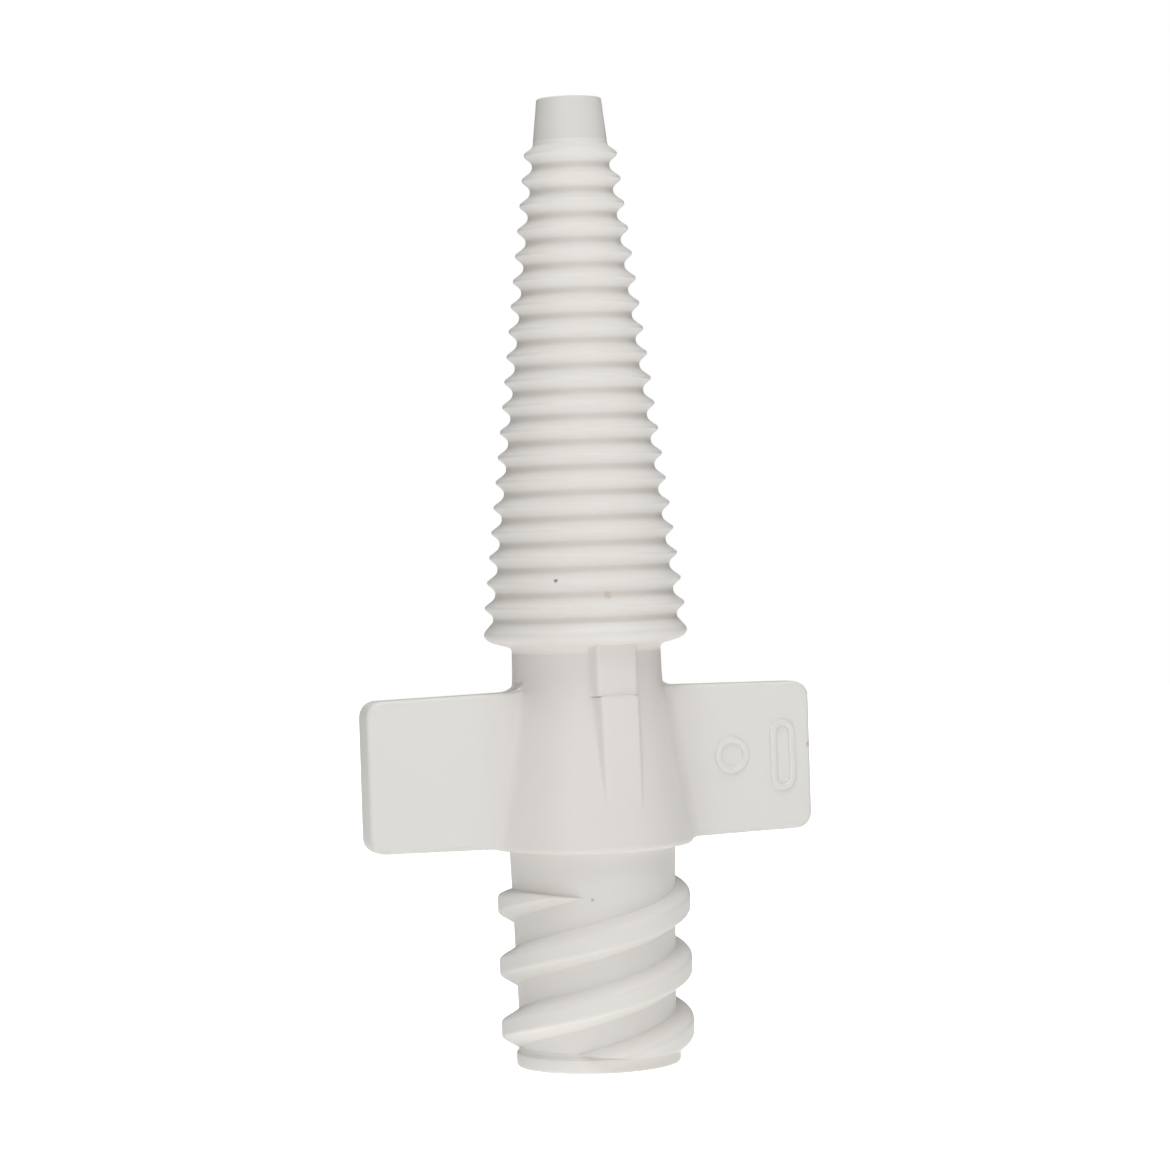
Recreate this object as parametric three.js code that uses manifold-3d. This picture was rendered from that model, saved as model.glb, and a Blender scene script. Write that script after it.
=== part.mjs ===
// Winged luer-lock tubing adapter: a ribbed conical stem on top, a hub with two finger wings
// in the middle and a female luer-lock socket with an external double-start thread below.
//
// Millimetres, +Z up along the axis of the adapter. The origin is the centre of the socket's
// end face, the wings lie along X and the raised front key faces -Y. The real adapter is one
// moulding, so each mesh here is one zone of it, and neighbouring zones meet face to face.

import * as THREE from "three";
import { mergeVertices } from "three/addons/utils/BufferGeometryUtils.js";
import Module from "manifold-3d";

// ---- Driving dimensions ----------------------------------------------------------------------

// Heights along the axis, from the socket's end face up to the stem's tip.
const LIP_TOP = 0.6;
const HUB_BOTTOM = 8.73;
const WING_TOP = 15.09;
const NECK_TOP = 16.6;
const FLANGE_TOP = 17.83;
const TIP_BOTTOM = 36.86;
const TIP_TOP = 38.56;

// Ribbed stem: parallel rings of 1 mm pitch on a slender cone.
const RIBS = 19;
const RIB_PITCH = 1.0;
const RIB_DEPTH = 0.37;
const RIB_CREST_FLAT = 0.14;
const RIB_ROOT_FLAT = 0.24;
const LOWEST_RIB_HEIGHT = 18.35;
const LOWEST_RIB_RADIUS = 3.99;
const RIB_RADIUS_STEP = 0.1185;

// Thicker end bead below the ribs.
const FLANGE_RADIUS = 4.06;
const FLANGE_CREST_HEIGHT = 17.33;

// Plain tip that a tube is started on.
const TIP_RADIUS = 1.3;
const TIP_ROOT_RADIUS = 1.48;

// Neck and conical hub.
const NECK_RADIUS = 3.02;
const HUB_TOP_RADIUS = 3.03;
const HUB_BOTTOM_RADIUS = 4.06;
const HUB_LIP = 0.12;

// Keys: flat-faced bars on the front and back of the hub, each with a lower step above it.
const KEY_HALF_WIDTH = 0.8;
const KEY_REACH = 3.69;
const KEY_STEP_REACH = 3.41;
const KEY_STEP_HEIGHT = 14.8;
const KEY_BOTTOM = 10.3;

// Finger wings.
const WING_REACH = 9.47;
const WING_ROOT = 4.9;
const WING_THICKNESS = 1.2;
const WING_EDGE_DRAFT = 0.16;
const WING_CORNER_RADIUS = 0.75;
const WING_ROOT_FILLET = 0.5;

// Raised marks on the right wing's front face.
const MARK_HEIGHT = 0.1;
const ROUNDEL_AT = [5.95, 12.05];
const ROUNDEL_RADIUS = 0.75;
const BADGE_AT = [8.2, 11.95];
const BADGE_HALF_WIDTH = 0.55;
const BADGE_HALF_LENGTH = 1.45;
const MARK_STROKE = 0.28;

// Luer-lock socket: barrel, end lip and double-start right-hand thread.
const BARREL_TOP_RADIUS = 3.29;
const BARREL_BOTTOM_RADIUS = 3.17;
const LIP_RADIUS = 3.29;
const LIP_EDGE = 0.1;
const THREAD_LEAD = 5.0;
const THREAD_STARTS = 2;
const THREAD_RADIUS = 3.86;
const THREAD_CREST_WIDTH = 0.55;
const THREAD_BASE_WIDTH = 1.75;
const THREAD_PHASE_DEG = 55;
const THREAD_TOPS = [7.1, 7.35];

// Passage: a 6 % luer taper from the mouth, then a lumen that narrows to the tip.
const LUER_MOUTH_RADIUS = 2.15;
const LUER_TAPER = 0.06;
const LUER_FLOOR = 8.3;
const LUMEN_ROOT_RADIUS = 1.3;
const LUMEN_TIP_RADIUS = 0.8;

// Facets round each turned surface.
const TURNED_SEGMENTS = 32;
const RIB_SEGMENTS = 24;
const THREAD_STEPS_PER_TURN = 32;

// ---- Solids: closed geometry, and cuts and joins by manifold-3d ------------------------------

const wasm = await Module();
wasm.setup();

/** Turns a geometry into a manifold-3d solid. */
function solidOf(geometry) {
  const bare = new THREE.BufferGeometry();
  const flat = geometry.index ? geometry.toNonIndexed() : geometry;
  bare.setAttribute("position", flat.getAttribute("position"));
  const merged = mergeVertices(bare, 1e-4);
  return new wasm.Manifold(
    new wasm.Mesh({
      numProp: 3,
      vertProperties: merged.attributes.position.array,
      triVerts: new Uint32Array(merged.index.array),
    }),
  );
}

/** Turns a manifold-3d solid back into a flat-shaded geometry. */
function geometryOf(solid) {
  const mesh = solid.getMesh();
  const geometry = new THREE.BufferGeometry();
  geometry.setAttribute("position", new THREE.BufferAttribute(mesh.vertProperties, 3));
  geometry.setIndex(new THREE.BufferAttribute(mesh.triVerts, 1));
  const flat = geometry.toNonIndexed();
  flat.computeVertexNormals();
  return flat;
}

/** Spins a closed [radius, height] outline, listed anticlockwise, about the Z axis. */
function turned(outline, segments = TURNED_SEGMENTS) {
  const points = outline.map(([radius, height]) => new THREE.Vector2(radius, height));
  points.push(points[0].clone());
  return new THREE.LatheGeometry(points, segments).rotateX(Math.PI / 2);
}

/** Skins a stack of rings with equal numbers of [x, y, z] points and caps both ends flat. */
function lofted(rings) {
  const count = rings[0].length;
  const corners = [];
  const addFacet = (...points) => points.forEach((point) => corners.push(...point));
  for (let level = 0; level + 1 < rings.length; level += 1) {
    for (let i = 0; i < count; i += 1) {
      const j = (i + 1) % count;
      const [low, high] = [rings[level], rings[level + 1]];
      addFacet(low[i], low[j], high[j]);
      addFacet(low[i], high[j], high[i]);
    }
  }
  const [first, last] = [rings[0], rings[rings.length - 1]];
  for (let i = 1; i + 1 < count; i += 1) {
    addFacet(first[0], first[i + 1], first[i]);
    addFacet(last[0], last[i], last[i + 1]);
  }
  return new THREE.BufferGeometry().setAttribute(
    "position",
    new THREE.Float32BufferAttribute(corners, 3),
  );
}

/** A box between two opposite corners. */
function boxBetween(low, high) {
  const size = high.map((value, axis) => value - low[axis]);
  const centre = high.map((value, axis) => (value + low[axis]) / 2);
  return new THREE.BoxGeometry(...size).translate(...centre);
}

/** Extrudes an outline drawn in the XZ plane from the depth y = near to y = far. */
function plateXZ(shape, near, far, curveSegments = 6) {
  const options = { depth: far - near, bevelEnabled: false, curveSegments };
  return new THREE.ExtrudeGeometry(shape, options).rotateX(Math.PI / 2).translate(0, far, 0);
}

// ---- Passage ---------------------------------------------------------------------------------

/** Radius of the passage at a height: luer taper below its floor, lumen above it. */
function passageRadius(height) {
  if (height <= LUER_FLOOR) return LUER_MOUTH_RADIUS - (LUER_TAPER / 2) * height;
  const share = (height - LUER_FLOOR) / (TIP_TOP - LUER_FLOOR);
  return THREE.MathUtils.lerp(LUMEN_ROOT_RADIUS, LUMEN_TIP_RADIUS, share);
}

/** Outline of a turned zone with the passage through it, from its outer [radius, height] points. */
function hollowOutline(outer) {
  const bottom = outer[0][1];
  const top = outer[outer.length - 1][1];
  return [...outer, [passageRadius(top), top], [passageRadius(bottom), bottom]];
}

/** Solid that clears the lumen through the neck and hub. */
function lumenCutter() {
  return turned([
    [0, LUER_FLOOR + 0.1],
    [passageRadius(LUER_FLOOR + 0.1), LUER_FLOOR + 0.1],
    [passageRadius(NECK_TOP + 1), NECK_TOP + 1],
    [0, NECK_TOP + 1],
  ]);
}

// ---- Stem ------------------------------------------------------------------------------------

/** Crest radius of rib number n, counted upwards from the lowest. */
function ribRadius(n) {
  return LOWEST_RIB_RADIUS - RIB_RADIUS_STEP * n;
}

function ribbedCone() {
  const outer = [[ribRadius(-0.5) - RIB_DEPTH, FLANGE_TOP]];
  for (let n = 0; n < RIBS; n += 1) {
    const crest = LOWEST_RIB_HEIGHT + RIB_PITCH * n;
    const root = crest + RIB_PITCH / 2;
    outer.push([ribRadius(n), crest - RIB_CREST_FLAT / 2]);
    outer.push([ribRadius(n), crest + RIB_CREST_FLAT / 2]);
    if (n + 1 === RIBS) break;
    outer.push([ribRadius(n + 0.5) - RIB_DEPTH, root - RIB_ROOT_FLAT / 2]);
    outer.push([ribRadius(n + 0.5) - RIB_DEPTH, root + RIB_ROOT_FLAT / 2]);
  }
  outer.push([TIP_ROOT_RADIUS, TIP_BOTTOM]);
  return turned(hollowOutline(outer), RIB_SEGMENTS);
}

function stemFlange() {
  return turned(
    hollowOutline([
      [NECK_RADIUS + 0.55, NECK_TOP],
      [FLANGE_RADIUS - 0.15, NECK_TOP + 0.2],
      [FLANGE_RADIUS, FLANGE_CREST_HEIGHT - 0.15],
      [FLANGE_RADIUS, FLANGE_CREST_HEIGHT + 0.1],
      [ribRadius(-0.5) - RIB_DEPTH, FLANGE_TOP],
    ]),
  );
}

function tipSpigot() {
  return turned(
    hollowOutline([
      [TIP_ROOT_RADIUS, TIP_BOTTOM],
      [TIP_RADIUS + 0.03, TIP_TOP - 0.05],
      [TIP_RADIUS, TIP_TOP],
    ]),
    RIB_SEGMENTS,
  );
}

// ---- Neck and hub ----------------------------------------------------------------------------

/** Radius of the hub's cone at a height. */
function hubRadius(height) {
  const share = (height - HUB_BOTTOM) / (WING_TOP - HUB_BOTTOM);
  return THREE.MathUtils.lerp(HUB_BOTTOM_RADIUS, HUB_TOP_RADIUS, share);
}

/** Quarter of the wing-root section: from the wing root round the fillet to the cone. */
function rootQuarter(height) {
  const radius = hubRadius(height) - 0.02;
  const half = WING_THICKNESS / 2;
  const lift = half + WING_ROOT_FILLET;
  const reach = Math.sqrt((radius + WING_ROOT_FILLET) ** 2 - lift ** 2);
  const end = Math.atan2(lift, reach);
  const quarter = [[WING_ROOT, half]];
  for (let i = 0; i <= 4; i += 1) {
    const turn = THREE.MathUtils.lerp(-Math.PI / 2, end - Math.PI, i / 4);
    quarter.push([
      reach + WING_ROOT_FILLET * Math.cos(turn),
      lift + WING_ROOT_FILLET * Math.sin(turn),
    ]);
  }
  return quarter;
}

/** Closed wing-root section at a height, anticlockwise, as [x, y, z] points. */
function rootSection(height, level) {
  const right = rootQuarter(height);
  const left = right.map(([x, y]) => [-x, y]).reverse();
  const upper = [...right, ...left];
  const lower = upper.map(([x, y]) => [-x, -y]);
  return [...upper, ...lower].map(([x, y]) => [x, y, level]);
}

function hub() {
  const cone = solidOf(
    turned([
      [0, HUB_BOTTOM],
      [HUB_BOTTOM_RADIUS - HUB_LIP, HUB_BOTTOM],
      [hubRadius(HUB_BOTTOM + HUB_LIP), HUB_BOTTOM + HUB_LIP],
      [HUB_TOP_RADIUS, WING_TOP],
      [0, WING_TOP],
    ]),
  );
  const webs = solidOf(
    lofted([
      rootSection(HUB_BOTTOM, wingEdge(WING_ROOT).bottom),
      rootSection(WING_TOP, wingEdge(WING_ROOT).top),
    ]),
  );
  return geometryOf(cone.add(webs).subtract(solidOf(lumenCutter())));
}

function neck() {
  return turned(
    hollowOutline([
      [HUB_TOP_RADIUS - 0.02, WING_TOP],
      [NECK_RADIUS, NECK_TOP],
    ]),
  );
}

/** Flat-faced key on the side of the hub that the sign gives, cut back to the hub's surface. */
function key(side) {
  const raised = [-KEY_HALF_WIDTH, side * 2, KEY_BOTTOM];
  const bar = boxSolid(raised, [KEY_HALF_WIDTH, side * KEY_REACH, KEY_STEP_HEIGHT]);
  const low = [-KEY_HALF_WIDTH, side * 2, KEY_STEP_HEIGHT];
  const step = boxSolid(low, [KEY_HALF_WIDTH, side * KEY_STEP_REACH, NECK_TOP]);
  return geometryOf(bar.add(step).subtract(solidOf(hub())).subtract(solidOf(neck())));
}

/** Box solid between two corners given in any order. */
function boxSolid(one, other) {
  const low = one.map((value, axis) => Math.min(value, other[axis]));
  const high = one.map((value, axis) => Math.max(value, other[axis]));
  return solidOf(boxBetween(low, high));
}

// ---- Wings and their marks -------------------------------------------------------------------

/** Heights of the wing's bottom and top edges at a distance from the axis. */
function wingEdge(distance) {
  const draft = (WING_EDGE_DRAFT * distance) / WING_REACH;
  return { bottom: HUB_BOTTOM + 0.03 + draft, top: WING_TOP - 0.03 - draft };
}

/** Wing on the side that the sign gives: a flat plate with two rounded outer corners. */
function wing(side) {
  const root = wingEdge(WING_ROOT);
  const inner = WING_REACH - WING_CORNER_RADIUS;
  const corner = wingEdge(inner);
  const tip = side * WING_REACH;
  const outline = new THREE.Shape();
  outline.moveTo(side * WING_ROOT, root.bottom);
  outline.lineTo(side * inner, corner.bottom);
  outline.quadraticCurveTo(tip, corner.bottom, tip, corner.bottom + WING_CORNER_RADIUS);
  outline.lineTo(tip, corner.top - WING_CORNER_RADIUS);
  outline.quadraticCurveTo(tip, corner.top, side * inner, corner.top);
  outline.lineTo(side * WING_ROOT, root.top);
  outline.closePath();
  return plateXZ(outline, -WING_THICKNESS / 2, WING_THICKNESS / 2);
}

/** Draws a stadium, straight sides and round ends, on a path in the XZ plane. */
function stadium(path, [x, z], halfWidth, halfLength) {
  const straight = halfLength - halfWidth;
  path.moveTo(x + halfWidth, z - straight);
  path.lineTo(x + halfWidth, z + straight);
  path.absarc(x, z + straight, halfWidth, 0, Math.PI, false);
  path.lineTo(x - halfWidth, z - straight);
  path.absarc(x, z - straight, halfWidth, Math.PI, 2 * Math.PI, false);
  return path;
}

/** Raised stadium-shaped rim on the front face of the right wing. */
function raisedRim(at, halfWidth, halfLength) {
  const outline = stadium(new THREE.Shape(), at, halfWidth, halfLength);
  const inside = [halfWidth - MARK_STROKE, halfLength - MARK_STROKE];
  outline.holes.push(stadium(new THREE.Path(), at, ...inside));
  const face = -WING_THICKNESS / 2;
  return plateXZ(outline, face - MARK_HEIGHT, face, 10);
}

// ---- Luer-lock socket ------------------------------------------------------------------------

/** Radius of the socket's barrel at a height. */
function barrelRadius(height) {
  const share = (height - LIP_TOP) / (HUB_BOTTOM - LIP_TOP);
  return THREE.MathUtils.lerp(BARREL_BOTTOM_RADIUS, BARREL_TOP_RADIUS, share);
}

function luerSocket() {
  return turned([
    [barrelRadius(LIP_TOP), LIP_TOP],
    [barrelRadius(HUB_BOTTOM), HUB_BOTTOM],
    [passageRadius(HUB_BOTTOM), HUB_BOTTOM],
    [passageRadius(LUER_FLOOR + 0.1), LUER_FLOOR + 0.1],
    [passageRadius(LUER_FLOOR), LUER_FLOOR],
    [passageRadius(LIP_TOP), LIP_TOP],
  ]);
}

function socketLip() {
  return turned(
    hollowOutline([
      [LIP_RADIUS - LIP_EDGE, 0],
      [LIP_RADIUS, LIP_EDGE],
      [LIP_RADIUS, LIP_TOP],
    ]),
  );
}

/** Section of the thread ridge at an angle: a trapezoid whose base is buried in the barrel. */
function ridgeSection(angle, height) {
  const corner = (radius, offset) => [
    radius * Math.cos(angle),
    radius * Math.sin(angle),
    height + offset,
  ];
  const buried = BARREL_BOTTOM_RADIUS - 0.3;
  return [
    corner(buried, THREAD_BASE_WIDTH / 2),
    corner(BARREL_BOTTOM_RADIUS, THREAD_BASE_WIDTH / 2),
    corner(THREAD_RADIUS, THREAD_CREST_WIDTH / 2),
    corner(THREAD_RADIUS, -THREAD_CREST_WIDTH / 2),
    corner(BARREL_BOTTOM_RADIUS, -THREAD_BASE_WIDTH / 2),
    corner(buried, -THREAD_BASE_WIDTH / 2),
  ];
}

/** One start of the thread, cut level at its top and on the end lip, and clear of the barrel. */
function threadStart(start, top) {
  const turn = 2 * Math.PI;
  const phase = THREE.MathUtils.degToRad(THREAD_PHASE_DEG) + (turn * start) / THREAD_STARTS;
  const lowest = LIP_TOP - THREAD_BASE_WIDTH / 2;
  const highest = top + THREAD_BASE_WIDTH / 2;
  const steps = Math.ceil(((highest - lowest) / THREAD_LEAD) * THREAD_STEPS_PER_TURN);
  const sections = [];
  for (let i = 0; i <= steps; i += 1) {
    const height = THREE.MathUtils.lerp(lowest, highest, i / steps);
    sections.push(ridgeSection(phase + (turn * height) / THREAD_LEAD, height));
  }
  const reach = THREAD_RADIUS + 1;
  const between = solidOf(boxBetween([-reach, -reach, LIP_TOP], [reach, reach, top]));
  const ridge = solidOf(lofted(sections)).intersect(between);
  return geometryOf(ridge.subtract(solidOf(luerSocket())));
}

// ---- Assembly --------------------------------------------------------------------------------

/** Satin off-white moulded plastic. */
function moulding() {
  return new THREE.MeshStandardMaterial({ color: 0xe2e0dc, roughness: 0.55, metalness: 0 });
}

const adapter = new THREE.Group();

/** Adds one zone of the adapter under its own name. */
function addZone(name, geometry) {
  const zone = new THREE.Mesh(geometry, moulding());
  zone.name = name;
  adapter.add(zone);
}

addZone("tip_spigot", tipSpigot());
addZone("ribbed_cone", ribbedCone());
addZone("stem_flange", stemFlange());
addZone("neck", neck());
addZone("hub", hub());
addZone("front_key", key(-1));
addZone("rear_key", key(1));
addZone("left_wing", wing(-1));
addZone("right_wing", wing(1));
addZone("wing_roundel", raisedRim(ROUNDEL_AT, ROUNDEL_RADIUS, ROUNDEL_RADIUS));
addZone("wing_badge", raisedRim(BADGE_AT, BADGE_HALF_WIDTH, BADGE_HALF_LENGTH));
addZone("luer_socket", luerSocket());
addZone("thread_start_a", threadStart(0, THREAD_TOPS[0]));
addZone("thread_start_b", threadStart(1, THREAD_TOPS[1]));
addZone("socket_lip", socketLip());

export default adapter;
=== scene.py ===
"""Looks for the winged luer-lock tubing adapter: one white satin moulding on a pale floor.

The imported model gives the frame. Every visible zone of the moulding is a detailed piece that
stands for its CAD node: the ribbed stem, the thread and the raised marks come from geometry
nodes, the turned zones from a lathe, and the hub and wings from lofted sections.
"""

import logging
import math
from collections.abc import Iterable, Sequence
from dataclasses import dataclass, field
from enum import Enum

import bpy
from mathutils import Matrix, Vector


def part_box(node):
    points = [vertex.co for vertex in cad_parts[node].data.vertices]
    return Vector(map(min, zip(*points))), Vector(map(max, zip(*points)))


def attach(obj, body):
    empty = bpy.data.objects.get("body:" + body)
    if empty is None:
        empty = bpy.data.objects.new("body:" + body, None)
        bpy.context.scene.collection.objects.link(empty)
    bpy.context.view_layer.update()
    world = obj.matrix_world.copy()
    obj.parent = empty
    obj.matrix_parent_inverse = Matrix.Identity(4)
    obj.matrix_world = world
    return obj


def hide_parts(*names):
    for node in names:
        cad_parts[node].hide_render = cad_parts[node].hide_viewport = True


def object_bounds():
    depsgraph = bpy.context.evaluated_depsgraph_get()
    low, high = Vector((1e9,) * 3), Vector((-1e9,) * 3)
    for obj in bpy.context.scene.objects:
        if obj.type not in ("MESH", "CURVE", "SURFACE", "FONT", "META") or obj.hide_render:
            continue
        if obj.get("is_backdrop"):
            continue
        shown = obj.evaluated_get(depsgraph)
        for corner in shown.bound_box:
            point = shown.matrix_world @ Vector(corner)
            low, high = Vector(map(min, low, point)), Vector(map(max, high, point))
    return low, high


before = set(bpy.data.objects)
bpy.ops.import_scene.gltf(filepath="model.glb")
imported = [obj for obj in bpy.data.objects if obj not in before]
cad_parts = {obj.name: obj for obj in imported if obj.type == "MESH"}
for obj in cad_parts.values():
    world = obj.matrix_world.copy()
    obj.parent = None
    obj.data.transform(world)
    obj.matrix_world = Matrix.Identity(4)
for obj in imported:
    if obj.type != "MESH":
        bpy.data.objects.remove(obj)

MM = 0.001
WELD = 0.0005 * MM
CREASE = 35.0
TURNED_SEGMENTS = 160
BODY = "root"
LOG = logging.getLogger("adapter")

Point2 = tuple[float, float]
Point3 = tuple[float, float, float]
Colour = tuple[float, float, float, float]
Ring = list[Vector]
Piece = bpy.types.Object
Material = bpy.types.Material
NodeSocket = bpy.types.NodeSocket

BLACK_DIRT: Colour = (0.05, 0.045, 0.04, 1.0)
GREY_DIRT: Colour = (0.25, 0.22, 0.2, 1.0)
RUST: Colour = (0.5, 0.3, 0.2, 1.0)
BLACK: Colour = (0.0, 0.0, 0.0, 1.0)
WHITE: Colour = (1.0, 1.0, 1.0, 1.0)


# ---- Small sums --------------------------------------------------------------------------------


def lerp(low: float, high: float, share: float) -> float:
    """The value a share of the way from low to high."""
    return low + (high - low) * share


def smooth_step(low: float, high: float, value: float) -> float:
    """Rises smoothly from 0 at low to 1 at high."""
    share = min(1.0, max(0.0, (value - low) / (high - low)))
    return share * share * (3.0 - 2.0 * share)


def smooth_max(one: float, other: float, blend: float) -> float:
    """The larger of two lengths, with the corner between them rounded over blend."""
    return 0.5 * (one + other + math.hypot(one - other, blend))


def smooth_min(one: float, other: float, blend: float) -> float:
    """The smaller of two lengths, with the corner between them rounded over blend."""
    return 0.5 * (one + other - math.hypot(one - other, blend))


def arc(centre: Point2, radius: float, start: float, end: float, steps: int) -> list[Point2]:
    """Points of an arc in a plane.

    Args:
        centre: The arc's centre.
        radius: Its radius.
        start: First angle in degrees, anticlockwise from the first axis.
        end: Last angle in degrees.
        steps: Number of chords.

    Returns:
        steps + 1 points, ends included.
    """
    turns = [math.radians(lerp(start, end, i / steps)) for i in range(steps + 1)]
    return [(centre[0] + radius * math.cos(a), centre[1] + radius * math.sin(a)) for a in turns]


# ---- Meshes ------------------------------------------------------------------------------------


def signed_volume(mesh: bpy.types.Mesh) -> float:
    """Volume of a closed mesh, negative where its faces point inwards.

    Args:
        mesh: The mesh.

    Returns:
        The volume in cubic metres.
    """
    mesh.calc_loop_triangles()
    corners = [vertex.co for vertex in mesh.vertices]
    total = 0.0
    for triangle in mesh.loop_triangles:
        a, b, c = (corners[i] for i in triangle.vertices)
        total += a.dot(b.cross(c))
    return total / 6.0


def finish_mesh(mesh: bpy.types.Mesh) -> None:
    """Turns the faces outwards and shades the mesh smooth, but sharp past the crease angle.

    Args:
        mesh: The mesh.
    """
    if signed_volume(mesh) < 0.0:
        mesh.flip_normals()
    mesh.shade_smooth()
    mesh.set_sharp_from_angle(angle=math.radians(CREASE))
    mesh.update()


def add_object(name: str, data: bpy.types.ID) -> Piece:
    """Puts a new object in the scene.

    Args:
        name: The object's name.
        data: Its mesh, light or camera.

    Returns:
        The object, at the origin.
    """
    made = bpy.data.objects.new(name, data)
    bpy.context.scene.collection.objects.link(made)
    return made


def mesh_object(name: str, points: Sequence[Vector], faces: Sequence[Sequence[int]]) -> Piece:
    """Links a new object made of points and faces.

    Args:
        name: The piece's name.
        points: Corners in the row frame, in metres.
        faces: Corner numbers of each face.

    Returns:
        The object, at the origin.
    """
    mesh = bpy.data.meshes.new(name)
    mesh.from_pydata([tuple(point) for point in points], [], [tuple(face) for face in faces])
    mesh.validate()
    finish_mesh(mesh)
    return add_object(name, mesh)


def loft(name: str, rings: Sequence[Ring], closed: bool) -> Piece:
    """Skins rings of equal length.

    Args:
        name: The piece's name.
        rings: Closed rings of points, in order.
        closed: True joins the last ring to the first, False caps both ends.

    Returns:
        The skinned object.
    """
    count = len(rings[0])
    points = [point for ring in rings for point in ring]
    spans = len(rings) if closed else len(rings) - 1
    faces: list[Sequence[int]] = []
    for level in range(spans):
        low, high = level * count, ((level + 1) % len(rings)) * count
        for i in range(count):
            j = (i + 1) % count
            faces.append((low + i, low + j, high + j, high + i))
    if not closed:
        faces.append(tuple(reversed(range(count))))
        faces.append(tuple(range((len(rings) - 1) * count, len(rings) * count)))
    return mesh_object(name, points, faces)


def turned(name: str, outline: Sequence[Point2]) -> Piece:
    """Spins a closed outline about the Z axis.

    Args:
        name: The piece's name.
        outline: (radius, height) corners in millimetres, joined end to end.

    Returns:
        The turned object.
    """
    turns = [2.0 * math.pi * i / TURNED_SEGMENTS for i in range(TURNED_SEGMENTS)]
    around = [(math.cos(turn), math.sin(turn)) for turn in turns]
    rings = [[Vector((r * x, r * y, height)) * MM for x, y in around] for r, height in outline]
    return loft(name, rings, closed=True)


# ---- Geometry nodes ----------------------------------------------------------------------------


class Recipe:
    """A node tree under construction."""

    def __init__(self, tree: bpy.types.NodeTree) -> None:
        """Works on that tree."""
        self.tree = tree

    def node(self, kind: str, **settings: object) -> bpy.types.Node:
        """Adds a node and sets its properties by name.

        Args:
            kind: The type of node.
            settings: Properties of the node, by name.

        Returns:
            The node.
        """
        made = self.tree.nodes.new(kind)
        for name, value in settings.items():
            setattr(made, name, value)
        return made

    def feed(self, socket: NodeSocket, value: object) -> None:
        """Links a socket, or sets its constant, whichever the value is.

        Args:
            socket: The input.
            value: A socket to link, or a constant.
        """
        if isinstance(value, NodeSocket):
            self.tree.links.new(value, socket)
        else:
            socket.default_value = value

    def math(self, operation: str, *values: object, clamp: bool = False) -> NodeSocket:
        """Adds a Math node and returns its result.

        Args:
            operation: The Math node's operation.
            values: Its inputs, in order.
            clamp: True holds the result between 0 and 1.

        Returns:
            The result.
        """
        made = self.node("ShaderNodeMath", operation=operation, use_clamp=clamp)
        for socket, value in zip(made.inputs, values):
            self.feed(socket, value)
        return made.outputs[0]

    def split(self, vector: object) -> Sequence[NodeSocket]:
        """The three coordinates of a vector.

        Args:
            vector: The vector.

        Returns:
            The X, Y and Z sockets.
        """
        made = self.node("ShaderNodeSeparateXYZ")
        self.feed(made.inputs[0], vector)
        return made.outputs

    def nearest(self, turn: object, last: object) -> NodeSocket:
        """The whole number nearest to a turn, from 0 up to the last one."""
        return self.math("MINIMUM", self.math("MAXIMUM", self.math("ROUND", turn), 0.0), last)


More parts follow.
